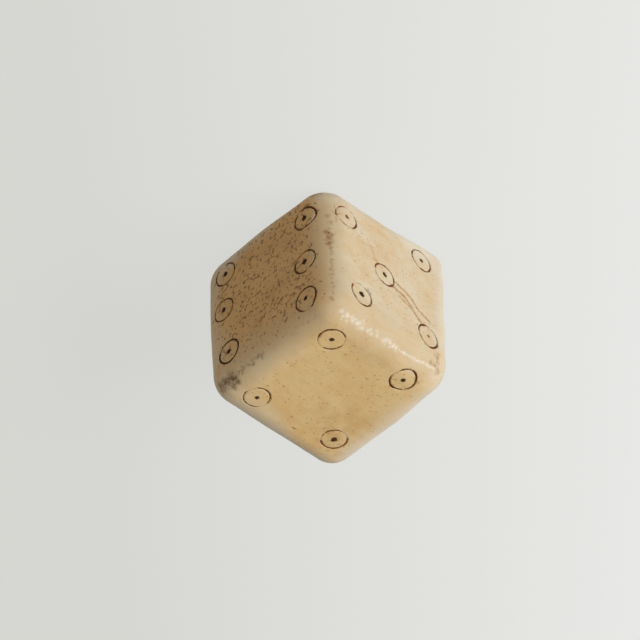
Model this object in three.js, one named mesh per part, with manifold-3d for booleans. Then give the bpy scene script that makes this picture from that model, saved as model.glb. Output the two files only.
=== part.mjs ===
// A gaming die cut by hand from bone: one block, worn round at its edges and corners, with a scribed
// ring and a drilled centre dot for each pip, and the dark filling that is pressed into every ring and dot.
// Millimetres, +Z up. The origin is the middle of the face that the die rests on, the 3.
import * as THREE from "three";
import { mergeVertices } from "three/addons/utils/BufferGeometryUtils.js";
import Module from "manifold-3d";

const wasm = await Module();
wasm.setup();

// The block, flat face to flat face. Opposite faces add up to seven.
const widthSixToOne = 14.9; // along X, the 6 at +X
const widthTwoToFive = 14.9; // along Y, the 5 at -Y
const heightFourToThree = 15.2; // along Z, the 4 on top

// Wear. An edge has its own radius at its middle and runs out into the rounder or sharper corners.
const edgeRadius = 2.25;
const cornerRadius = {
  // named by the three faces that meet there
  654: 2.4,
  653: 2.6,
  624: 2.4,
  623: 2.55,
  154: 3.0,
  153: 1.4,
  124: 2.15,
  123: 2.35,
};

// The pips. A scriber with a fixed reach turns about the drilled dot and cuts a ring of V section.
const pipInset = 3.2; // from a face's sharp outline to the middle of its outer pips
const ringRadius = 1.08;
const grooveWidth = 0.22; // at the surface
const grooveDepth = 0.14;
const dotRadius = 0.19;
const dotDepth = 0.45; // to the end of its point
const dotPointAngle = 90; // degrees across the drill's point

// The filling. It lies a little below the bone's surface.
const fillClearance = 0.01;
const fillRecess = 0.02;

// Each pip is [column, row, slip across, slip up]: its even place on the face, and how far the hand missed it.
const pips = {
  6: [
    [-1, -1, -0.8, 0.65],
    [-1, 0, -0.5, 1.1],
    [-1, 1, -0.3, 0.7],
    [1, -1, -0.1, 0.1],
    [1, 0, 0.3, -0.45],
    [1, 1, -0.1, 0.15],
  ],
  5: [
    [1, -1, 0.6, 0.6],
    [-1, -1, 0.3, -0.4],
    [0, 0, 0.9, 0.2],
    [1, 1, -0.3, 0.1],
    [-1, 1, 0.55, -0.25],
  ],
  4: [
    [1, -1, 0.2, -0.05],
    [-1, -1, 1.15, -0.55],
    [1, 1, 0.05, 0.1],
    [-1, 1, 0.35, -0.45],
  ],
  3: [
    [-1, -1, 0.35, 0.3],
    [0, 0, 0.25, -0.35],
    [1, 1, -0.4, 0.1],
  ],
  2: [
    [-1, 1, 0.2, -0.5],
    [1, -1, 0.15, 0.35],
  ],
  1: [[0, 0, 0.3, -0.4]],
};

// Grid steps of the block from the middle of a face to its rounding, and across half of the rounding.
const flatSteps = 3;
const roundSteps = 4;
const ringSteps = 28;
const dotSteps = 12;

const aboveFace = 1; // height over a face from which the worn surface is sounded

const boneColour = 0xd8c39a;
const fillColour = 0x4b2d14;

const half = new THREE.Vector3(widthSixToOne, widthTwoToFive, heightFourToThree).multiplyScalar(0.5);
const middle = new THREE.Vector3(0, 0, half.z);

// Where each face looks, and the direction of its columns. Its rows run along their cross product.
const faces = [
  { value: 6, out: [1, 0, 0], across: [0, 1, 0] },
  { value: 5, out: [0, -1, 0], across: [1, 0, 0] },
  { value: 4, out: [0, 0, 1], across: [1, 0, 0] },
  { value: 3, out: [0, 0, -1], across: [1, 0, 0] },
  { value: 2, out: [0, 1, 0], across: [-1, 0, 0] },
  { value: 1, out: [-1, 0, 0], across: [0, -1, 0] },
];

function solidOf(geometry) {
  const bare = geometry.clone();
  bare.deleteAttribute("normal");
  bare.deleteAttribute("uv");
  const merged = mergeVertices(bare);
  return new wasm.Manifold(
    new wasm.Mesh({
      numProp: 3,
      vertProperties: merged.attributes.position.array,
      triVerts: new Uint32Array(merged.index.array),
    }),
  );
}

function geometryOf(solid) {
  const mesh = solid.getMesh();
  const geometry = new THREE.BufferGeometry();
  geometry.setAttribute("position", new THREE.BufferAttribute(mesh.vertProperties, 3));
  geometry.setIndex(new THREE.BufferAttribute(mesh.triVerts, 1));
  geometry.computeVertexNormals();
  return geometry;
}

// The radius at a grid point: the edge's own at the middle of the edge, the corner's where the corner starts.
function wearAt(x, y, z) {
  const corner = cornerRadius[`${x > 0 ? 6 : 1}${y > 0 ? 2 : 5}${z > 0 ? 4 : 3}`];
  const along = Math.min(Math.abs(x), Math.abs(y), Math.abs(z)) / flatSteps;
  return THREE.MathUtils.lerp(edgeRadius, corner, THREE.MathUtils.smoothstep(along, 0, 1));
}

// A grid step's place along one axis, as if the block were sharp. The steps over the rounding have equal angles.
function placeOnAxis(step, halfSize, radius) {
  const straight = halfSize - radius;
  const count = Math.abs(step);
  const turn = ((count - flatSteps) / roundSteps) * (Math.PI / 4);
  const reach = count <= flatSteps ? (straight * count) / flatSteps : straight + radius * Math.tan(turn);
  return Math.sign(step) * reach;
}

function wornBlock() {
  const steps = 2 * (flatSteps + roundSteps);
  const geometry = new THREE.BoxGeometry(steps, steps, steps, steps, steps, steps);
  const position = geometry.attributes.position;
  const grid = new THREE.Vector3();
  for (let i = 0; i < position.count; i++) {
    grid.fromBufferAttribute(position, i).round();
    const radius = wearAt(grid.x, grid.y, grid.z);
    const straight = half.clone().subScalar(radius);
    const place = new THREE.Vector3(
      placeOnAxis(grid.x, half.x, radius),
      placeOnAxis(grid.y, half.y, radius),
      placeOnAxis(grid.z, half.z, radius),
    );
    const core = place.clone().clamp(straight.clone().negate(), straight);
    place.sub(core).setLength(radius).add(core).add(middle);
    position.setXYZ(i, place.x, place.y, place.z);
  }
  geometry.computeBoundingSphere();
  return geometry;
}

const block = new THREE.Mesh(wornBlock(), new THREE.MeshStandardMaterial());

// How far the worn surface lies below the flat of the face, at x, y in a pip's own plane.
function dropAt(pip, x, y) {
  const start = pip.localToWorld(new THREE.Vector3(x, y, aboveFace));
  const inward = new THREE.Vector3(0, 0, -1).transformDirection(pip.matrixWorld);
  const [hit] = new THREE.Raycaster(start, inward).intersectObject(block);
  return hit.distance - aboveFace;
}

function grooveHalfWidth(height) {
  return (grooveWidth / 2) * (1 + height / grooveDepth);
}

// A V of the groove's slopes on its ring, open at the given height, whose point follows the worn surface.
function scribedRing(pip, top, slack) {
  const reach = grooveHalfWidth(top) - slack;
  const point = -grooveDepth * (1 - slack / (grooveWidth / 2));
  const outline = [
    new THREE.Vector2(ringRadius, point),
    new THREE.Vector2(ringRadius + reach, top),
    new THREE.Vector2(ringRadius - reach, top),
    new THREE.Vector2(ringRadius, point),
  ];
  const geometry = new THREE.LatheGeometry(outline, ringSteps).rotateX(Math.PI / 2);
  const position = geometry.attributes.position;
  for (let i = 0; i < position.count; i++) {
    const angle = Math.atan2(position.getY(i), position.getX(i));
    const drop = dropAt(pip, ringRadius * Math.cos(angle), ringRadius * Math.sin(angle));
    position.setZ(i, position.getZ(i) - drop);
  }
  return geometry;
}

// A drilled hole's shape, or its filling's, up to the given height.
function drilledDot(pip, top, slack) {
  const radius = dotRadius - slack;
  const bottom = -dotDepth + 2 * slack;
  const shoulder = bottom + radius / Math.tan(THREE.MathUtils.degToRad(dotPointAngle / 2));
  const outline = [
    new THREE.Vector2(0, bottom),
    new THREE.Vector2(radius, shoulder),
    new THREE.Vector2(radius, top),
    new THREE.Vector2(0, top),
  ];
  return new THREE.LatheGeometry(outline, dotSteps).rotateX(Math.PI / 2).translate(0, 0, -dropAt(pip, 0, 0));
}

const die = new THREE.Group();
const fillMaterial = new THREE.MeshStandardMaterial({ color: fillColour, roughness: 0.8, metalness: 0 });
let bone = solidOf(block.geometry);

for (const { value, out, across } of faces) {
  const outward = new THREE.Vector3(...out);
  const columns = new THREE.Vector3(...across);
  const rows = outward.clone().cross(columns);
  const face = new THREE.Group();
  face.quaternion.setFromRotationMatrix(new THREE.Matrix4().makeBasis(columns, rows, outward));
  face.position.copy(half).multiply(outward).add(middle);
  die.add(face);

  const columnReach = Math.abs(columns.dot(half)) - pipInset;
  const rowReach = Math.abs(rows.dot(half)) - pipInset;
  pips[value].forEach(([column, row, slipAcross, slipUp], index) => {
    const pip = new THREE.Group();
    pip.position.set(column * columnReach + slipAcross, row * rowReach + slipUp, 0);
    face.add(pip);
    die.updateMatrixWorld(true);

    for (const shape of [scribedRing, drilledDot]) {
      const cutter = shape(pip, grooveDepth, 0).applyMatrix4(pip.matrixWorld);
      bone = bone.subtract(solidOf(cutter));
    }
    const ringFill = new THREE.Mesh(scribedRing(pip, -fillRecess, fillClearance), fillMaterial);
    ringFill.name = `pip_${value}_${index + 1}_ring_fill`;
    const dotFill = new THREE.Mesh(drilledDot(pip, -fillRecess, fillClearance), fillMaterial);
    dotFill.name = `pip_${value}_${index + 1}_dot_fill`;
    pip.add(ringFill, dotFill);
  });
}

const boneBlock = new THREE.Mesh(
  geometryOf(bone),
  new THREE.MeshStandardMaterial({ color: boneColour, roughness: 0.45, metalness: 0 }),
);
boneBlock.name = "bone_block";
die.add(boneBlock);

export default die;
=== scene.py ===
import math
import random

import bmesh
import bpy
from mathutils import Matrix, Vector, noise
from mathutils.bvhtree import BVHTree
from mathutils.kdtree import KDTree


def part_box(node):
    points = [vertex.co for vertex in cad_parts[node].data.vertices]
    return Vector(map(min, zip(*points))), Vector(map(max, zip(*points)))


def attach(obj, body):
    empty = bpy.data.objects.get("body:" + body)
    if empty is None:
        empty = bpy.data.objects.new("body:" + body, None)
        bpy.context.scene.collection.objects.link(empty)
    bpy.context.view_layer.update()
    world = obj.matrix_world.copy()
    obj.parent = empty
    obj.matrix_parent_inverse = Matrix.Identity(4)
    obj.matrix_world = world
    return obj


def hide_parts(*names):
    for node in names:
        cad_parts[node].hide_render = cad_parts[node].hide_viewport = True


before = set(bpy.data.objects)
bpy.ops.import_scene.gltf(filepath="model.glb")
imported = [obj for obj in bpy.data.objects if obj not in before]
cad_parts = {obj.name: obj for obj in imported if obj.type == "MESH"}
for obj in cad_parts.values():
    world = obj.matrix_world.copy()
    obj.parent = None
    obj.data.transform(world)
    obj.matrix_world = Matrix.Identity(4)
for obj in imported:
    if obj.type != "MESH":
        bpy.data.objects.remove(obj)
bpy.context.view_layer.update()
mm = 0.001  # the die is made in millimetres, and each mesh is scaled to metres when it is done

scene = bpy.context.scene
scene.view_settings.view_transform = "Standard"

lowest, highest = (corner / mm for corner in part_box("bone_block"))
half = (highest - lowest) / 2
middle = (highest + lowest) / 2

# Where each face looks, and one direction across it. The other is their cross product.
faces = {
    6: {"out": Vector((1, 0, 0)), "across": Vector((0, 1, 0))},
    5: {"out": Vector((0, -1, 0)), "across": Vector((1, 0, 0))},
    4: {"out": Vector((0, 0, 1)), "across": Vector((1, 0, 0))},
    3: {"out": Vector((0, 0, -1)), "across": Vector((1, 0, 0))},
    2: {"out": Vector((0, 1, 0)), "across": Vector((-1, 0, 0))},
    1: {"out": Vector((-1, 0, 0)), "across": Vector((0, -1, 0))},
}


def smooth(value):
    t = min(max(value, 0), 1)
    return t * t * (3 - 2 * t)


# The camera of the photograph. The world's down lies near the top of the picture, so the camera is rolled
# right over. Its angles are in degrees.
view = {
    "azimuth": 47.97,
    "elevation": 44.76,
    "roll": 175.41,
    "distance": 225,
    "middleRight": 0.625,  # where the die's middle lies from the camera's axis
    "middleDown": 0.558,
    "lens": 154.35,
    "sensor": 36,
    "nearest": 10,  # nothing nearer is drawn
    "pixels": 640,  # along each side of the photograph
}


def makeCamera():
    azimuth = math.radians(view["azimuth"])
    elevation = math.radians(view["elevation"])
    back = Vector((
        math.sin(azimuth) * math.cos(elevation),
        -math.cos(azimuth) * math.cos(elevation),
        math.sin(elevation),
    ))
    level = Vector((math.cos(azimuth), math.sin(azimuth), 0))
    turn = Matrix.Rotation(math.radians(view["roll"]), 3, back)
    right = turn @ level
    up = turn @ back.cross(level)
    place = middle + back * view["distance"] - right * view["middleRight"] + up * view["middleDown"]
    data = bpy.data.cameras.new("camera")
    data.lens = view["lens"]
    data.sensor_width = view["sensor"]
    data.clip_start = view["nearest"] * mm
    camera = bpy.data.objects.new("camera", data)
    camera.matrix_world = Matrix.Translation(place * mm) @ Matrix((right, up, back)).transposed().to_4x4()
    scene.collection.objects.link(camera)
    scene.camera = camera
    return place, right, up, back


eye, eyeRight, eyeUp, eyeBack = makeCamera()
print("camera made")


# The way from the camera through a pixel of the photograph.
def lookThrough(x, y):
    focal = view["lens"] / view["sensor"] * view["pixels"]
    centre = view["pixels"] / 2
    return (eyeRight * (x - centre) - eyeUp * (y - centre) - eyeBack * focal).normalized()


# Where a direction on a face points in the photograph, as hours on a clock.
def clockOf(direction):
    return math.atan2(direction.dot(eyeRight), direction.dot(eyeUp)) / (2 * math.pi) * 12 % 12


def hoursApart(one, other):
    apart = abs(one - other) % 12
    return min(apart, 12 - apart)


# The bone block: sawn and filed square, then worn round by years of handling.
block = {
    "cells": 78,  # along each side
    "flatShare": 0.69,  # of the cells, on the flat
    "edgeRadius": 2.25,
    "cornerRadius": {  # each corner is named by the three faces that meet there
        "654": 2.4, "653": 2.6, "624": 2.4, "623": 2.55,
        "154": 3.0, "153": 1.4, "124": 2.15, "123": 2.35,
    },
    "rimWidth": 3.4,  # of the rubbed bone round each face
    "rimUneven": 0.6,  # how much that width varies, as a share
    "unevenDepth": 0.045,  # of the hollows that the file and the years have left
    "unevenSpacing": 4.5,
    "rippleDepth": 0.012,
    "rippleSpacing": 0.9,
    "sunkBy": 0.5,  # of those depths, so that little of the surface stays at its full height
    "pitsPerMm": 3.4,
    "pitsFrom": 0.1,  # a higher value gives fewer pits
    # The chalk marks are chalky wear and a painted highlight along the ridge between the 5 and the 4, and
    # both sink the pits deeper.
    "pitDepth": {"chalk_and_highlight": 0.2, "dirt": 0.12},
    "scratchDepth": 0.03,
}


# The radius at a place on the unit cube: the edge's own at its middle, running out into the corner's.
def wearRadius(grid):
    name = ("6" if grid.x > 0 else "1") + ("2" if grid.y > 0 else "5") + ("4" if grid.z > 0 else "3")
    along = min(abs(value) for value in grid) / block["flatShare"]
    corner = block["cornerRadius"][name]
    return block["edgeRadius"] + (corner - block["edgeRadius"]) * smooth(along)


# A place along one axis, as if the block were sharp. The cells over a rounding span equal angles.
def placeOnAxis(step, halfSize, radius):
    straight = halfSize - radius
    count = abs(step)
    turn = (count - block["flatShare"]) / (1 - block["flatShare"]) * math.pi / 4
    flat = count <= block["flatShare"]
    reach = straight * count / block["flatShare"] if flat else straight + radius * math.tan(turn)
    return math.copysign(reach, step)


def wornPlace(grid):
    radius = wearRadius(grid)
    place = Vector(placeOnAxis(grid[i], half[i], radius) for i in range(3))
    core = Vector(max(min(place[i], half[i] - radius), radius - half[i]) for i in range(3))
    return middle + core + (place - core).normalized() * radius


# How pale the bone is rubbed along each edge, named by its two faces. The three ridges in the middle of
# the photograph keep their brown polish, and the edges round its outline are pale.
paleEdges = {
    "65": 0.1, "54": 0.12, "64": 0.1, "53": 1, "63": 1, "51": 0.8, "41": 0.9, "42": 0.65, "62": 0.4,
    "32": 0.6, "31": 0.6, "21": 0.6,
}


# The paleness of the edges near a point, each weighed by how close it is.
def palenessAt(point):
    near = []
    for i, (high, low) in enumerate(((6, 1), (2, 5), (4, 3))):
        inward = half[i] - abs(point[i] - middle[i])
        near.append((high if point[i] > middle[i] else low, 1 - smooth(inward / block["rimWidth"])))
    total = weighed = 0
    for one, other in ((0, 1), (1, 2), (0, 2)):
        pair = sorted((near[one][0], near[other][0]), reverse=True)
        closeness = near[one][1] * near[other][1]
        total += closeness
        weighed += closeness * paleEdges[f"{pair[0]}{pair[1]}"]
    return weighed / total if total else 0


# How rubbed the bone is at a point, from 0 on the flat to 1 at an edge.
def wornAt(point):
    inward = sorted(half[i] - abs(point[i] - middle[i]) for i in range(3))
    rim = block["rimWidth"] * (1 + block["rimUneven"] * noise.noise(point / block["unevenSpacing"]))
    return 1 - smooth(inward[1] / rim)


# The pips: a scribed ring of V section about a drilled dot.
pip = {
    "ringRadius": 1.08,
    "wobble": 0.02,  # of the scriber's reach, as a share
    "grooveWidth": 0.22,
    "grooveDepth": 0.14,
    "lostDepth": 0.16,  # of the groove's depth, where the filling is gone and the bone round it is worn
    "lostRise": 1.5,  # how fast the depth comes back as more filling is left
    "crumble": 0.45,  # how unevenly the filling has gone
    "crumbs": ((2.3, 1), (7.9, 0.7)),  # the scale of each noise that makes it so, and its share
    "dotRadius": 0.19,
    "dotDepth": 0.45,
    "dotWall": 0.06,  # how wide the slope into a dot is
    "dotRagged": 0.3,  # of its radius, as a share
    "dotRaggedScale": 1.7,
    "grooveStain": 0.6,  # how far the bone is stained each side of the groove, over the groove's width
    "stainLeast": 0.08,  # where the filling is gone
    "stainMore": 0.8,  # on top of that, where it is whole
    "dotStain": 0.8,  # of a dot's radius, stained in full
    "dotStainFade": 0.12,
    "cutFacing": 0.4,  # a pip cuts only where the block's normal has at least this cosine with its face's
    "cutReach": 0.5,  # past the ring
    "fineFacing": 0.5,  # the same for the faces that are divided
    "fineBands": ((0.34, 0.42), (0.2, 0.36)),  # at each refining: beside the groove, and from the middle
    "noiseStep": 7.3,  # from one pip's own noise to the next
    "noisePlace": (1.7, 4.1),
}

# How much of each ring's filling is left, from 0 to 1, how dark it is, how large and dark its dot is,
# and where it is fuller or lost: [hour on the photograph's clock, hours it reaches, change].
fillings = {
    "pip_4_1": {"left": 0.5, "tone": 0.5, "dot": 1, "dotTone": 0.9,
                "marks": [[8.4, 1.5, -0.9], [3.3, 1.3, -0.9], [12, 1.6, 0.2], [6, 1.2, 0.2]]},
    "pip_4_2": {"left": 0.5, "tone": 0.75, "dot": 1, "dotTone": 0.9,
                "marks": [[8.3, 1.5, 0.5], [3, 1.5, 0.5], [10.8, 1.4, -0.8], [6, 1, -0.15]]},
    "pip_4_3": {"left": 0.38, "tone": 0.5, "dot": 0.85, "dotTone": 0.9,
                "marks": [[11, 1.6, -0.8], [4.5, 1.4, -0.8], [3, 0.9, 0.2]]},
    "pip_4_4": {"left": 0.42, "tone": 0.3, "dot": 1.25, "dotTone": 0.85,
                "marks": [[2, 1.2, -0.4], [6, 1.5, 0.15], [9.5, 1.2, -0.5]]},
    "pip_5_1": {"left": 0.3, "tone": 0.5, "dot": 1, "dotTone": 0.5,
                "marks": [[4.5, 1, 0.6], [9, 1.5, -0.1], [1, 1.5, 0.1]]},
    "pip_5_2": {"left": 0.6, "tone": 0.6, "dot": 1, "dotTone": 0.8,
                "marks": [[7, 1.2, -0.15]]},
    "pip_5_3": {"left": 0.6, "tone": 0.45, "dot": 1.2, "dotTone": 0.8,
                "marks": [[9.5, 1.3, -0.6], [5, 1.2, 0.2]]},
    "pip_5_4": {"left": 0.45, "tone": 0.65, "dot": 1.45, "dotTone": 1,
                "marks": [[5, 1.8, 0.4], [8.5, 1.2, 0.35], [12, 1.5, -0.5]]},
    "pip_5_5": {"left": 0.5, "tone": 0.65, "dot": 0.75, "dotTone": 0.4,
                "marks": [[11, 1.1, 0.5], [5, 1.1, 0.55], [8, 1.2, 0.1]]},
    "pip_6_1": {"left": 0.55, "tone": 0.7, "dot": 1.35, "dotTone": 1,
                "marks": [[1.5, 1.6, 0.5], [10.5, 1.3, -0.7]]},
    "pip_6_2": {"left": 0.55, "tone": 0.7, "dot": 1.3, "dotTone": 1,
                "marks": [[7.5, 1.3, 0.5], [2, 1.4, 0.15], [5, 1, -0.7], [11, 1, -0.4]]},
    "pip_6_3": {"left": 0.65, "tone": 0.7, "dot": 1, "dotTone": 1,
                "marks": [[5.8, 1.4, -1], [10, 1, -0.3]]},
    "pip_6_4": {"left": 0.6, "tone": 0.75, "dot": 1.3, "dotTone": 1,
                "marks": [[11, 1.6, -1], [8, 1, 0.2]]},
    "pip_6_5": {"left": 0.55, "tone": 0.7, "dot": 1.1, "dotTone": 1,
                "marks": [[12, 1.2, 0.1]]},
    "pip_6_6": {"left": 0.95, "tone": 1.0, "dot": 1.2, "dotTone": 1,
                "marks": [[9.5, 0.8, -0.2]]},
}

# Every pip draws a filling by chance between these, with one place where it is lost, and those on the hidden
# faces use it.
hiddenFilling = {
    "seed": 21,
    "left": (0.45, 0.7),
    "tone": (0.45, 0.85),
    "dot": (0.9, 1.3),
    "dotTone": (0.7, 1),
    "lostReach": (0.8, 1.6),
    "lostChange": (-0.7, -0.2),
}


def drawFilling(chance):
    lost = [chance.uniform(0, 12)]
    lost += [chance.uniform(*hiddenFilling[name]) for name in ("lostReach", "lostChange")]
    drawn = {name: chance.uniform(*hiddenFilling[name]) for name in ("left", "tone", "dot", "dotTone")}
    return {**drawn, "marks": [lost]}


# Each pip with its middle and face, which come from the frame, and its filling.
def readPips():
    chance = random.Random(hiddenFilling["seed"])
    found = []
    for name in sorted(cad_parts):
        if not name.endswith("_dot_fill"):
            continue
        short = name.removesuffix("_dot_fill")
        value = int(short.split("_")[1])
        out, across = faces[value]["out"], faces[value]["across"]
        low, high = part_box(name)
        inFace = (low + high) / 2 / mm - middle
        inFace -= out * inFace.dot(out)
        found.append({
            "name": short,
            "out": out,
            "across": across,
            "up": out.cross(across),
            "centre": middle + inFace + out * abs(out.dot(half)),
            "filling": fillings.get(short, drawFilling(chance)),
            "noise": Vector((len(found) * pip["noiseStep"], *pip["noisePlace"])),
        })
    return found


pips = readPips()


# A point's distance from a pip's middle in the plane of the face, and its direction there.
def polarOf(spot, point):
    away = point - spot["centre"]
    u, v = away.dot(spot["across"]), away.dot(spot["up"])
    return math.hypot(u, v), math.atan2(v, u)


def directionOf(spot, angle):
    return spot["across"] * math.cos(angle) + spot["up"] * math.sin(angle)


def scribedRadius(spot, angle):
    swing = noise.noise(spot["noise"] + Vector((math.cos(angle), math.sin(angle), 0)))
    return pip["ringRadius"] * (1 + pip["wobble"] * swing)


def fillingLeft(spot, angle):
    hour = clockOf(directionOf(spot, angle))
    left = spot["filling"]["left"]
    for markHour, reach, change in spot["filling"]["marks"]:
        left += change * (1 - smooth(hoursApart(hour, markHour) / reach))
    gone = 0
    for scale, share in pip["crumbs"]:
        gone += share * noise.noise(spot["noise"] + directionOf(spot, angle) * scale)
    return min(max(left + pip["crumble"] * gone, 0), 1)


# A dot's ragged outline.
def dotEdge(spot, angle):
    uneven = noise.noise(spot["noise"] + directionOf(spot, angle) * pip["dotRaggedScale"])
    return pip["dotRadius"] * spot["filling"]["dot"] * (1 + pip["dotRagged"] * uneven)


# Where a ring is nearly lost, the groove itself is worn shallow.
def grooveDepthAt(spot, angle):
    back = smooth(fillingLeft(spot, angle) * pip["lostRise"])
    return pip["grooveDepth"] * (pip["lostDepth"] + (1 - pip["lostDepth"]) * back)


# How deep the bone is cut at a distance and direction from a pip's middle.
def cutDepth(spot, distance, angle):
    away = abs(distance - scribedRadius(spot, angle)) / (pip["grooveWidth"] / 2)
    groove = grooveDepthAt(spot, angle) * (1 - away) if away < 1 else 0
    dot = pip["dotDepth"] * smooth((dotEdge(spot, angle) - distance) / pip["dotWall"])
    return max(groove, dot)


# How dark the filling has stained the bone there.
def scribedAt(spot, distance, angle):
    away = abs(distance - scribedRadius(spot, angle)) / (pip["grooveWidth"] * pip["grooveStain"])
    inGroove = (1 - smooth(away)) * (pip["stainLeast"] + pip["stainMore"] * fillingLeft(spot, angle))
    pastDot = distance - dotEdge(spot, angle) * pip["dotStain"]
    atDot = (1 - smooth(pastDot / pip["dotStainFade"])) * spot["filling"]["dotTone"]
    return max(inGroove, atDot)


# The faces of the block at the pips' grooves and dots.
def facesAtPips(bm, band, dotReach):
    near = []
    for face in bm.faces:
        place = face.calc_center_median()
        for spot in pips:
            if face.normal.dot(spot["out"]) < pip["fineFacing"]:
                continue
            distance, _ = polarOf(spot, place)
            if abs(distance - pip["ringRadius"]) < band or distance < dotReach:
                near.append(face)
                break
    return near


# Marks of age, and a painted highlight among the chalk, on the three faces that the photograph shows: each
# has the pixels of the photograph that it runs through, how many touches it takes, their radius in
# millimetres, how far they stray, and its strength.
marks = {
    "stain": {
        "ridgeSpot": {"path": [(327, 231), (331, 243)],
                      "touches": 14, "radius": 0.2, "stray": 0.24, "strength": 1.5},
        "besideScratches": {"path": [(391, 284), (408, 300), (428, 328)],
                            "touches": 12, "radius": 0.32, "stray": 0.1, "strength": 0.22},
        "ridgeTop": {"path": [(330, 214), (329, 226)],
                     "touches": 7, "radius": 0.16, "stray": 0.2, "strength": 0.8},
        "ridgeLine": {"path": [(331, 247), (333, 300)],
                      "touches": 26, "radius": 0.12, "stray": 0.14, "strength": 0.8},
        "rightCorner": {"path": [(437, 352), (438, 371)],
                        "touches": 20, "radius": 0.17, "stray": 0.45, "strength": 0.95},
        "sixMiddle": {"path": [(300, 262), (270, 300)],
                      "touches": 8, "radius": 0.9, "stray": 0.8, "strength": 0.35},
        "sixTop": {"path": [(240, 258), (290, 240)],
                   "touches": 8, "radius": 0.9, "stray": 0.8, "strength": 0.35},
        "sixLeft": {"path": [(238, 300), (262, 325)],
                    "touches": 8, "radius": 0.7, "stray": 0.8, "strength": 0.35},
        "fourBottom": {"path": [(322, 445), (350, 432)],
                       "touches": 8, "radius": 0.6, "stray": 0.9, "strength": 0.26},
        "fourMiddle": {"path": [(320, 412), (372, 424)],
                       "touches": 8, "radius": 0.7, "stray": 0.8, "strength": 0.2},
    },
    "dirt": {
        "leftRidge": {"path": [(262, 354), (222, 386)],
                      "touches": 60, "radius": 0.13, "stray": 0.26, "strength": 0.9},
        "leftCorner": {"path": [(236, 379), (221, 388)],
                       "touches": 50, "radius": 0.27, "stray": 0.5, "strength": 1.2},
        "innerRidge": {"path": [(314, 316), (282, 338)],
                       "touches": 20, "radius": 0.1, "stray": 0.3, "strength": 0.35},
        "topEdge": {"path": [(308, 196), (322, 193)],
                    "touches": 20, "radius": 0.18, "stray": 0.14, "strength": 0.9},
        "atFivePip": {"path": [(368, 289), (370, 293)],
                      "touches": 4, "radius": 0.12, "stray": 0.06, "strength": 0.8},
        "atFourPip": {"path": [(414, 379), (418, 383)],
                      "touches": 6, "radius": 0.12, "stray": 0.12, "strength": 0.7},
        "fiveSpecks": {"path": [(370, 241), (378, 252)],
                       "touches": 9, "radius": 0.08, "stray": 0.35, "strength": 0.45},
        "fourSpecks": {"path": [(312, 360), (340, 372)],
                       "touches": 16, "radius": 0.08, "stray": 0.9, "strength": 0.35},
    },
    "scratch": {
        "longLeft": {"path": [(391, 284), (405, 296), (418, 318), (424, 326)],
                     "touches": 80, "radius": 0.13, "stray": 0.05, "strength": 1.2},
        "longRight": {"path": [(396, 282), (410, 296), (420, 312), (430, 322)],
                      "touches": 80, "radius": 0.12, "stray": 0.05, "strength": 1.1},
        "shortBetween": {"path": [(400, 296), (407, 304), (413, 312)],
                         "touches": 40, "radius": 0.09, "stray": 0.08, "strength": 0.85},
        "aboveMiddlePip": {"path": [(369, 242), (375, 258), (382, 268)],
                           "touches": 40, "radius": 0.08, "stray": 0.1, "strength": 0.7},
        "overTopRing": {"path": [(331, 211), (336, 214), (341, 213)],
                        "touches": 24, "radius": 0.07, "stray": 0.03, "strength": 0.75},
        "alongTopRing": {"path": [(334, 205), (336, 213), (336, 221)],
                         "touches": 24, "radius": 0.07, "stray": 0.03, "strength": 0.7},
    },
    # Chalky wear in spots, and along the ridge between the 5 and the 4 a painted highlight: the fine pale
    # line at its end is painted highlight.
    "chalk_and_highlight": {
        "ridgeStart": {"path": [(341, 311), (362, 326)],
                       "touches": 34, "radius": 0.15, "stray": 0.3, "strength": 0.7},
        "ridgeMiddle": {"path": [(362, 326), (400, 350)],
                        "touches": 40, "radius": 0.12, "stray": 0.28, "strength": 0.55},
        "ridgePatch": {"path": [(386, 340), (396, 348)],
                       "touches": 12, "radius": 0.15, "stray": 0.2, "strength": 0.75},
        "ridgeEnd": {"path": [(400, 351), (434, 369)],
                     "touches": 60, "radius": 0.1, "stray": 0.08, "strength": 0.65},
        "leftRidge": {"path": [(300, 348), (262, 372)],
                      "touches": 16, "radius": 0.6, "stray": 0.5, "strength": 0.1},
    },
}

# How the touches differ from one another, and how each fades out.
touch = {
    "seed": 4,
    "radiusSpread": (0.6, 1.4),
    "strengthSpread": (0.6, 1),
    "reach": 1.7,  # of a touch before it has faded out, over its radius
    "ragged": 0.5,  # of that reach, as a share
    "raggedPerMm": 3.1,
    "small": 0.3,  # the radius under which a touch gets a finer mesh
    "fineMargin": 0.1,
    "leastArea": 0.005,  # of a face that is divided again
}


def alongPath(path, share):
    at = share * (len(path) - 1)
    leg = min(int(at), len(path) - 2)
    return Vector(path[leg]).lerp(Vector(path[leg + 1]), at - leg)


# Each mark's touches as (place, radius, strength), found by looking through its pixels at the block.
def placeTouches(surface):
    chance = random.Random(touch["seed"])
    placed = {}
    for kind, runs in marks.items():
        placed[kind] = []
        for run in runs.values():
            for i in range(run["touches"]):
                pixel = alongPath(run["path"], i / max(run["touches"] - 1, 1))
                hit = surface.ray_cast(eye, lookThrough(pixel.x, pixel.y))[0]
                stray = Vector(chance.gauss(0, run["stray"] / 2) for _ in range(3))
                radius = run["radius"] * chance.uniform(*touch["radiusSpread"])
                if hit:
                    strength = run["strength"] * chance.uniform(*touch["strengthSpread"])
                    placed[kind].append((hit + stray, radius, strength))
    return placed


def treeOf(touches):
    tree = KDTree(len(touches))
    for i, (place, _, _) in enumerate(touches):
        tree.insert(place, i)
    tree.balance()
    return tree


# How strongly a kind's touches mark a point.
def touchedBy(touches, tree, point):
    ragged = 1 + touch["ragged"] * noise.noise(point * touch["raggedPerMm"])
    widest = max(radius for _, radius, _ in touches) * touch["reach"] * ragged
    most = 0
    for _, i, apart in tree.find_range(point, widest):
        _, radius, strength = touches[i]
        reach = radius * touch["reach"] * ragged
        if apart < reach:
            most = max(most, strength * (1 - smooth(apart / reach)))
    return most


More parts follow.
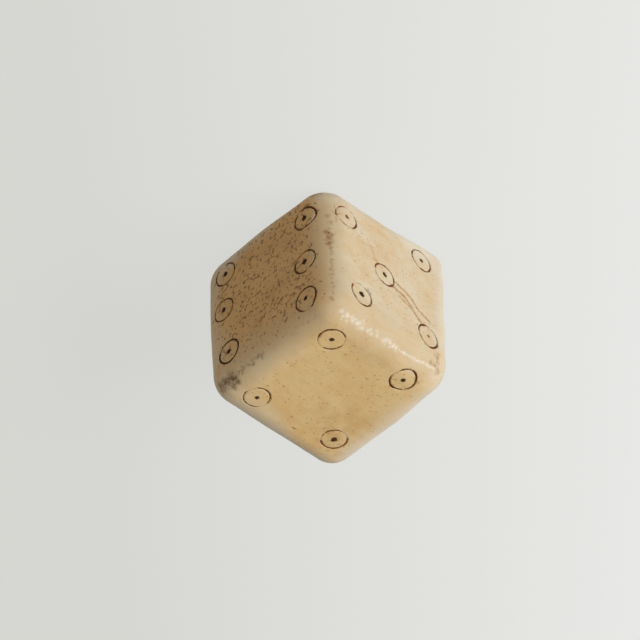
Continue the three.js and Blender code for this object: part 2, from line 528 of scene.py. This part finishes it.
# The faces of the block under small touches, which need a finer mesh to keep their edges.
def facesAtMarks(bm, placed):
    small = [one for touches in placed.values() for one in touches if one[1] < touch["small"]]
    tree = treeOf(small)
    near = []
    for face in bm.faces:
        _, i, apart = tree.find(face.calc_center_median())
        if apart < small[i][1] + touch["fineMargin"] and face.calc_area() > touch["leastArea"]:
            near.append(face)
    return near


def divide(bm, chosen):
    edges = dict.fromkeys(edge for face in chosen for edge in face.edges)
    bmesh.ops.subdivide_edges(bm, edges=list(edges), cuts=1, use_grid_fill=True)


# The uneven wear, pits and scratches at a vertex, as a height of 0 or less.
def liftOf(vertex, layers):
    point = vertex.co
    lift = 0
    for name in ("uneven", "ripple"):
        height = noise.noise(point / block[name + "Spacing"]) - block["sunkBy"]
        lift += block[name + "Depth"] * height
    pitted = max(0, noise.noise(point * block["pitsPerMm"]) - block["pitsFrom"])
    for kind, depth in block["pitDepth"].items():
        lift -= depth * vertex[layers[kind]] * pitted
    lift -= block["scratchDepth"] * vertex[layers["scratch"]]
    return min(lift, 0)


# Writes how marked, worn and stained the bone is at a vertex, and gives the move that cuts it to shape.
def ageVertex(vertex, layers, placed, trees):
    point = vertex.co
    for kind in marks:
        vertex[layers[kind]] = touchedBy(placed[kind], trees[kind], point)
    vertex[layers["worn"]] = wornAt(point)
    vertex[layers["pale"]] = vertex[layers["worn"]] * palenessAt(point)
    move = vertex.normal * liftOf(vertex, layers)
    for spot in pips:
        if vertex.normal.dot(spot["out"]) < pip["cutFacing"]:
            continue
        distance, angle = polarOf(spot, point)
        if distance > pip["ringRadius"] + pip["cutReach"]:
            continue
        move -= spot["out"] * cutDepth(spot, distance, angle)
        vertex[layers["scribed"]] = max(vertex[layers["scribed"]], scribedAt(spot, distance, angle))
    return move


def makeBlock():
    bm = bmesh.new()
    bmesh.ops.create_cube(bm, size=2)
    bmesh.ops.subdivide_edges(bm, edges=bm.edges[:], cuts=block["cells"] - 1, use_grid_fill=True)
    for vertex in bm.verts:
        vertex.co = wornPlace(vertex.co.copy())
    smoothSurface = BVHTree.FromBMesh(bm)  # before it is cut and marked
    placed = placeTouches(smoothSurface)
    trees = {kind: treeOf(touches) for kind, touches in placed.items()}
    divide(bm, facesAtMarks(bm, placed))
    for band, dotReach in pip["fineBands"]:
        bm.normal_update()
        divide(bm, facesAtPips(bm, band, dotReach))
    divide(bm, facesAtMarks(bm, placed))
    bmesh.ops.recalc_face_normals(bm, faces=bm.faces[:])
    bm.normal_update()
    layers = {name: bm.verts.layers.float.new(name) for name in [*marks, "scribed", "worn", "pale"]}
    moves = [ageVertex(vertex, layers, placed, trees) for vertex in bm.verts]
    for vertex, move in zip(bm.verts, moves):
        vertex.co = vertex.co + move
    bmesh.ops.triangulate(bm, faces=[face for face in bm.faces if len(face.verts) > 4])
    return bm, smoothSurface


def finishPiece(bm, name, node, material):
    bmesh.ops.scale(bm, vec=(mm, mm, mm), verts=bm.verts[:])
    bm.normal_update()
    mesh = bpy.data.meshes.new(name)
    bm.to_mesh(mesh)
    bm.free()
    mesh.shade_smooth()
    mesh.materials.append(material)
    piece = bpy.data.objects.new(name, mesh)
    scene.collection.objects.link(piece)
    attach(piece, "root")
    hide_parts(node)
    return piece


# An sRGB hex colour as linear red, green, blue and alpha.
def linear(colour):
    values = [int(colour[i:i + 2], 16) / 255 for i in (1, 3, 5)]
    return [v / 12.92 if v <= 0.04045 else ((v + 0.055) / 1.055) ** 2.4 for v in values] + [1]


# Adds a node and gives its outputs. Its inputs come in their order, or by name or number: a socket is
# linked to one, and anything else is its value.
def addNode(tree, kind, inputs=(), **properties):
    node = tree.nodes.new(kind)
    for name, value in properties.items():
        setattr(node, name, value)
    keyed = inputs.items() if isinstance(inputs, dict) else enumerate(inputs)
    for key, value in keyed:
        if isinstance(value, bpy.types.NodeSocket):
            tree.links.new(value, node.inputs[key])
        else:
            node.inputs[key].default_value = value
    return node.outputs


mixShare, mixUnder, mixOver, mixed = 0, 6, 7, 2  # the Mix node's sockets for colours


def newMaterial(name):
    material = bpy.data.materials.new(name)
    material.use_nodes = True
    material.node_tree.nodes.clear()
    return material, material.node_tree


# Old dense bone, filed and rubbed smooth: tan, with a creamier 5 and brown end grain on the 6 and the 1,
# polished at its rims and pale where it is rubbed most. Its pores are dots across the grain, which runs
# from the 6 to the 1, and dashes along it.
boneFinish = {
    "base": "#dfbf88",
    "coats": {  # over the base, each over the one before
        "cream": "#dac9ab",
        "endGrain": "#cda066",
        "streaks": "#cf9f58",
        "mottles": "#cf9f58",
        "polish": "#c2aa82",
        "rim": "#ebe3d2",
        "pores": "#70461a",
        "specks": "#a3743a",
        "stain": "#94602c",
        "scratch": "#a9701f",
        # chalk: chalky wear, and a painted highlight along the ridge between the 5 and the 4
        "chalk_and_highlight": "#f6f1e4",
        "dirt": "#5c3b12",
        "scribed": "#64390f",
    },
    "grainLength": 3,  # how far pores and streaks are drawn out along the grain
    "noises": {  # scales are per millimetre
        "pores": {"Scale": 3.1, "Detail": 3, "Roughness": 0.55},  # each pore is about 0.15 mm wide
        "streaks": {"Scale": 1.6, "Detail": 5, "Roughness": 0.62},
        "specks": {"Scale": 4.2, "Detail": 2, "Roughness": 0.5},
        "mottles": {"Scale": 0.3, "Detail": 4, "Roughness": 0.6},
        "fine": {"Scale": 5, "Detail": 6, "Roughness": 0.7},
    },
    "ranges": {  # what goes in, low and high, and then what comes out
        "cream": (-0.35, -0.85, 0, 1),  # from how far the surface turns to the 5
        "endGrain": (0.55, 0.9, 0, 1),  # from how far it turns to the 6 or the 1
        "streaks": (0.5, 0.78, 0, 0.5),
        "mottles": (0.42, 0.7, 0, 0.45),
        "rimBroken": (0.3, 0.7, 0.95, 0.65),  # from the mottles, so that the pale rims are uneven
        "markBroken": (0.3, 0.62, 0.4, 1),  # from the fine noise, so that the marks are
        "closed": (0, 1, 0.68, 0.562),  # few pores are open along the grain, and many across it
        "pores": (0, 0.04, 0, 0.7),
        "specks": (0.64, 0.7, 0, 0.6),
        "roughness": (0.3, 0.7, 0.48, 0.7),
    },
    "polishShare": 0.75,
    "rimClosed": 0.1,  # closes more of the pores at the rims
    "rimSpecks": 0.07,  # takes specks away there
    "heights": {"fine": 0.5, "streaks": 0.4, "pores": -0.9},  # pores are sunk
    "bump": {"Strength": 0.5, "Distance": 0.04 * mm},
    "shader": {
        "Subsurface Weight": 0.25,
        "Subsurface Radius": (1.0, 0.62, 0.35),
        "Subsurface Scale": 0.6 * mm,
        "IOR": 1.5,
        "Specular IOR Level": 0.32,
    },
}


def bonePatterns(tree, place):
    perMetre = 1 / mm
    patterns = {}
    for name, settings in boneFinish["noises"].items():
        length = boneFinish["grainLength"] if name in ("pores", "streaks") else 1
        scale = (perMetre / length, perMetre, perMetre)
        scaled = addNode(tree, "ShaderNodeMapping", {"Vector": place, "Scale": scale})[0]
        patterns[name] = addNode(tree, "ShaderNodeTexNoise", {"Vector": scaled, **settings})["Fac"]
    return patterns


# How much of each coat shows, from the patterns, the normal and what is written at the block's vertices.
def boneShares(tree, patterns, normal):
    amount = {}
    for name in ("worn", "pale", *marks, "scribed"):
        amount[name] = addNode(tree, "ShaderNodeAttribute", attribute_name=name)["Fac"]
    turn = addNode(tree, "ShaderNodeSeparateXYZ", {"Vector": normal})
    endways = addNode(tree, "ShaderNodeMath", [turn["X"]], operation="ABSOLUTE")[0]
    ranges = boneFinish["ranges"]
    sources = {
        "cream": turn["Y"], "endGrain": endways, "streaks": patterns["streaks"],
        "mottles": patterns["mottles"], "rimBroken": patterns["mottles"], "markBroken": patterns["fine"],
    }
    share = {"scribed": amount["scribed"]}
    for name, source in sources.items():
        share[name] = addNode(tree, "ShaderNodeMapRange", [source, *ranges[name]])[0]
    factors = {name: (amount[name], share["markBroken"]) for name in marks}
    factors["polish"] = (amount["worn"], boneFinish["polishShare"])
    factors["rim"] = (amount["pale"], share["rimBroken"])
    for name, pair in factors.items():
        share[name] = addNode(tree, "ShaderNodeMath", pair, operation="MULTIPLY")[0]

    closed = addNode(tree, "ShaderNodeMapRange", [share["endGrain"], *ranges["closed"]])[0]
    atRim = (amount["worn"], boneFinish["rimClosed"], closed)
    closed = addNode(tree, "ShaderNodeMath", atRim, operation="MULTIPLY_ADD")[0]
    pores = addNode(tree, "ShaderNodeMath", [patterns["pores"], closed], operation="SUBTRACT")[0]
    atRim = (amount["worn"], -boneFinish["rimSpecks"], patterns["specks"])
    specks = addNode(tree, "ShaderNodeMath", atRim, operation="MULTIPLY_ADD")[0]
    for name, source in (("pores", pores), ("specks", specks)):
        share[name] = addNode(tree, "ShaderNodeMapRange", [source, *ranges[name]])[0]
    return share


def makeBone():
    material, tree = newMaterial("old_bone")
    coords = addNode(tree, "ShaderNodeTexCoord")
    patterns = bonePatterns(tree, coords["Object"])
    share = boneShares(tree, patterns, coords["Normal"])
    base = linear(boneFinish["base"])
    for name, colour in boneFinish["coats"].items():
        sockets = {mixShare: share[name], mixUnder: base, mixOver: linear(colour)}
        base = addNode(tree, "ShaderNodeMix", sockets, data_type="RGBA")[mixed]

    height = 0
    sources = {**patterns, "pores": share["pores"]}
    for name, most in boneFinish["heights"].items():
        added = [sources[name], most, height]
        height = addNode(tree, "ShaderNodeMath", added, operation="MULTIPLY_ADD")[0]
    bumped = addNode(tree, "ShaderNodeBump", {"Height": height, **boneFinish["bump"]})[0]
    uneven = [patterns["fine"], *boneFinish["ranges"]["roughness"]]
    roughness = addNode(tree, "ShaderNodeMapRange", uneven)[0]
    sockets = {"Base Color": base, "Roughness": roughness, "Normal": bumped, **boneFinish["shader"]}
    shader = addNode(tree, "ShaderNodeBsdfPrincipled", sockets)[0]
    addNode(tree, "ShaderNodeOutputMaterial", {"Surface": shader})
    return material


# Soot in wax, pressed in and dried: dull near-black where it is whole, orange brown where it is thin. Soot
# is far too fine to show, so its grains are drawn coarse, at 9 to the millimetre.
fillFinish = {
    "thin": "#8e5626",
    "whole": "#3a220f",
    "grains": {"Scale": 9, "Detail": 4},
    "toneRange": (0.3, 0.7, -0.2, 0.2),
    "bump": {"Strength": 0.6, "Distance": 0.03 * mm},
    "shader": {"Roughness": 0.85, "Specular IOR Level": 0.15},
}


def makeFill():
    material, tree = newMaterial("soot_wax")
    place = addNode(tree, "ShaderNodeTexCoord")["Object"]
    even = addNode(tree, "ShaderNodeMapping", {"Vector": place, "Scale": (1 / mm, 1 / mm, 1 / mm)})[0]
    grains = addNode(tree, "ShaderNodeTexNoise", {"Vector": even, **fillFinish["grains"]})["Fac"]
    uneven = addNode(tree, "ShaderNodeMapRange", [grains, *fillFinish["toneRange"]])[0]
    tone = addNode(tree, "ShaderNodeAttribute", attribute_name="tone")["Fac"]
    dark = addNode(tree, "ShaderNodeMath", [tone, uneven], operation="ADD")[0]
    sockets = {mixShare: dark, mixUnder: linear(fillFinish["thin"]), mixOver: linear(fillFinish["whole"])}
    colour = addNode(tree, "ShaderNodeMix", sockets, data_type="RGBA")[mixed]
    bumped = addNode(tree, "ShaderNodeBump", {"Height": grains, **fillFinish["bump"]})[0]
    sockets = {"Base Color": colour, "Normal": bumped, **fillFinish["shader"]}
    shader = addNode(tree, "ShaderNodeBsdfPrincipled", sockets)[0]
    addNode(tree, "ShaderNodeOutputMaterial", {"Surface": shader})
    return material


bone = makeBone()
fill = makeFill()
print("materials made")

blockMesh, smoothBlock = makeBlock()
blockPiece = finishPiece(blockMesh, "worn_block", "bone_block", bone)
print("block made:", len(blockPiece.data.polygons), "faces")


# The smooth block's height near a pip, over the flat of its face.
def surfaceHeight(spot, distance, angle):
    above = 1
    start = spot["centre"] + directionOf(spot, angle) * distance + spot["out"] * above
    depth = smoothBlock.ray_cast(start, -spot["out"])[3]
    return above - depth


ringPiece = {
    "steps": 96,
    "sectionWidth": 0.1,  # of the V as it is spun, before it is fitted to the groove
    "letDown": 0.015,  # of the whole filling, into the groove
    "recess": 0.015,  # of its top, below that
    "sinks": 0.85,  # of the rest of the depth, where the filling is lost
    "pointDepth": 0.93,  # of the groove's depth
    "clearance": 0.004,
    "leastHalfWidth": 0.006,
    "leastTone": 0.15,
}


def makeRing(spot):
    bm = bmesh.new()
    tone = bm.verts.layers.float.new("tone")
    reach, wide = pip["ringRadius"], ringPiece["sectionWidth"]
    outline = [(reach - wide, 0), (reach, 0), (reach + wide, 0), (reach, -wide)]
    corners = [bm.verts.new((x, 0, z)) for x, z in outline]
    edges = [bm.edges.new((corners[i - 1], corners[i])) for i in range(len(corners))]
    bmesh.ops.spin(
        bm, geom=corners + edges, cent=(0, 0, 0), axis=(0, 0, 1),
        angle=2 * math.pi, steps=ringPiece["steps"], use_merge=True,
    )
    for vertex in bm.verts:
        angle = math.atan2(vertex.co.y, vertex.co.x)
        side = round((math.hypot(vertex.co.x, vertex.co.y) - reach) / wide)
        isPoint = vertex.co.z < -wide / 2
        left = fillingLeft(spot, angle)
        depth = grooveDepthAt(spot, angle)
        top = -ringPiece["recess"] - (1 - left) * (depth - ringPiece["recess"]) * ringPiece["sinks"]
        width = pip["grooveWidth"] / 2 * (1 + top / depth) - ringPiece["clearance"]
        distance = scribedRadius(spot, angle)
        height = surfaceHeight(spot, distance, angle) - ringPiece["letDown"]
        height += -depth * ringPiece["pointDepth"] if isPoint else top
        reached = distance + side * max(width, ringPiece["leastHalfWidth"])
        whole = ringPiece["leastTone"] + (1 - ringPiece["leastTone"]) * left
        vertex[tone] = spot["filling"]["tone"] * whole
        vertex.co = spot["centre"] + directionOf(spot, angle) * reached + spot["out"] * height
    bmesh.ops.recalc_face_normals(bm, faces=bm.faces[:])
    node = spot["name"] + "_ring_fill"
    finishPiece(bm, "wax_" + node, node, fill)


dotPiece = {
    "sides": 20,
    "bottomShare": 0.4,  # of the top's radius
    "depthShare": 0.9,  # of the hole's depth
    "clearance": 0.012,
    "sunk": 0.05,
    "roughDepth": 0.03,
    "roughPerMm": 9,
}


def makeDot(spot):
    bm = bmesh.new()
    tone = bm.verts.layers.float.new("tone")
    radius = pip["dotRadius"]
    depth = 1  # until each vertex gets its own height
    bmesh.ops.create_cone(
        bm, cap_ends=True, cap_tris=True, segments=dotPiece["sides"],
        radius1=radius * dotPiece["bottomShare"], radius2=radius, depth=depth,
    )
    caps = [edge for edge in bm.edges if edge.calc_length() < depth / 2]
    bmesh.ops.subdivide_edges(bm, edges=caps, cuts=1)
    base = surfaceHeight(spot, 0, 0)
    for vertex in bm.verts:
        angle = math.atan2(vertex.co.y, vertex.co.x)
        distance = math.hypot(vertex.co.x, vertex.co.y)
        reached = distance * (dotEdge(spot, angle) - dotPiece["clearance"]) / radius
        height = base - pip["dotDepth"] * dotPiece["depthShare"]
        if vertex.co.z > 0:
            place = spot["noise"] + directionOf(spot, angle) * distance * dotPiece["roughPerMm"]
            height = base - dotPiece["sunk"] + dotPiece["roughDepth"] * noise.noise(place)
        vertex[tone] = spot["filling"]["dotTone"]
        vertex.co = spot["centre"] + directionOf(spot, angle) * reached + spot["out"] * height
    bmesh.ops.recalc_face_normals(bm, faces=bm.faces[:])
    node = spot["name"] + "_dot_fill"
    finishPiece(bm, "wax_" + node, node, fill)


for spot in pips:
    makeRing(spot)
    makeDot(spot)
print("fillings made:", 2 * len(pips))


# A plain pale floor that the camera sees as the photograph's paper, with painted shade towards the left, and
# that keeps the die's shadow, under one soft lamp. Lengths here are in metres.
studio = {
    "floorSize": 1.6,
    "floor": "#d8d8d4",
    "paperPale": "#ececea",
    # paperShaded is painted shade on the paper, darker towards the camera's left, away from the lamp.
    "paperShaded": "#d9dad5",
    "paperShare": 0.88,  # of what the camera sees there, and the rest is the lit floor
    "paperRange": (-0.02, 0.03, 0, 1),  # from shaded to pale, along the camera's right
    "daylight": "#ffffff",
    "daylightStrength": 0.38,
    "keyTo": (-0.24, -0.77, 0.59),
    "keyDistance": 0.45,
    "keySize": 0.34,
    "keyPower": 1.62,
}


def makeFloor():
    bm = bmesh.new()
    bmesh.ops.create_grid(bm, x_segments=1, y_segments=1, size=studio["floorSize"] / 2)
    mesh = bpy.data.meshes.new("floor")
    bm.to_mesh(mesh)
    bm.free()
    floor = bpy.data.objects.new("floor", mesh)
    scene.collection.objects.link(floor)
    material, tree = newMaterial("paper")
    place = addNode(tree, "ShaderNodeTexCoord")["Object"]
    spin = -math.atan2(eyeRight.y, eyeRight.x)
    turned = addNode(tree, "ShaderNodeMapping", {"Vector": place, "Rotation": (0, 0, spin)})[0]
    rightward = addNode(tree, "ShaderNodeSeparateXYZ", {"Vector": turned})["X"]
    share = addNode(tree, "ShaderNodeMapRange", [rightward, *studio["paperRange"]])[0]
    # The paper's colour runs from painted shade on the left to pale on the right.
    pale, shaded = linear(studio["paperPale"]), linear(studio["paperShaded"])
    sockets = {mixShare: share, mixUnder: shaded, mixOver: pale}
    paper = addNode(tree, "ShaderNodeMix", sockets, data_type="RGBA")[mixed]
    shown = addNode(tree, "ShaderNodeEmission", {"Color": paper})[0]
    lit = addNode(tree, "ShaderNodeBsdfDiffuse", {"Color": linear(studio["floor"])})[0]
    rays = addNode(tree, "ShaderNodeLightPath")
    seen = rays["Is Camera Ray"]
    for name in ("Is Glossy Ray", "Is Transmission Ray"):
        seen = addNode(tree, "ShaderNodeMath", [seen, rays[name]], operation="MAXIMUM")[0]
    seen = addNode(tree, "ShaderNodeMath", [seen, studio["paperShare"]], operation="MULTIPLY")[0]
    surface = addNode(tree, "ShaderNodeMixShader", [seen, lit, shown])[0]
    addNode(tree, "ShaderNodeOutputMaterial", {"Surface": surface})
    mesh.materials.append(material)


def makeLight():
    world = bpy.data.worlds.new("studio")
    world.use_nodes = True
    tree = world.node_tree
    tree.nodes.clear()
    rays = addNode(tree, "ShaderNodeLightPath")
    daylight = [linear(studio["daylight"]), studio["daylightStrength"]]
    dim = addNode(tree, "ShaderNodeBackground", daylight)[0]
    pale = addNode(tree, "ShaderNodeBackground", [linear(studio["paperPale"]), 1])[0]
    directly = [rays["Is Camera Ray"], rays["Is Transmission Ray"]]
    seen = addNode(tree, "ShaderNodeMath", directly, operation="MAXIMUM")[0]
    sky = addNode(tree, "ShaderNodeMixShader", [seen, dim, pale])[0]
    addNode(tree, "ShaderNodeOutputWorld", {"Surface": sky})
    scene.world = world

    toKey = Vector(studio["keyTo"]).normalized()
    data = bpy.data.lights.new("key", "AREA")
    data.shape = "DISK"
    data.size = studio["keySize"]
    data.energy = studio["keyPower"]
    key = bpy.data.objects.new("key", data)
    key.location = middle * mm + toKey * studio["keyDistance"]
    key.rotation_euler = toKey.to_track_quat("Z", "Y").to_euler()
    scene.collection.objects.link(key)


makeFloor()
makeLight()
print("studio made")
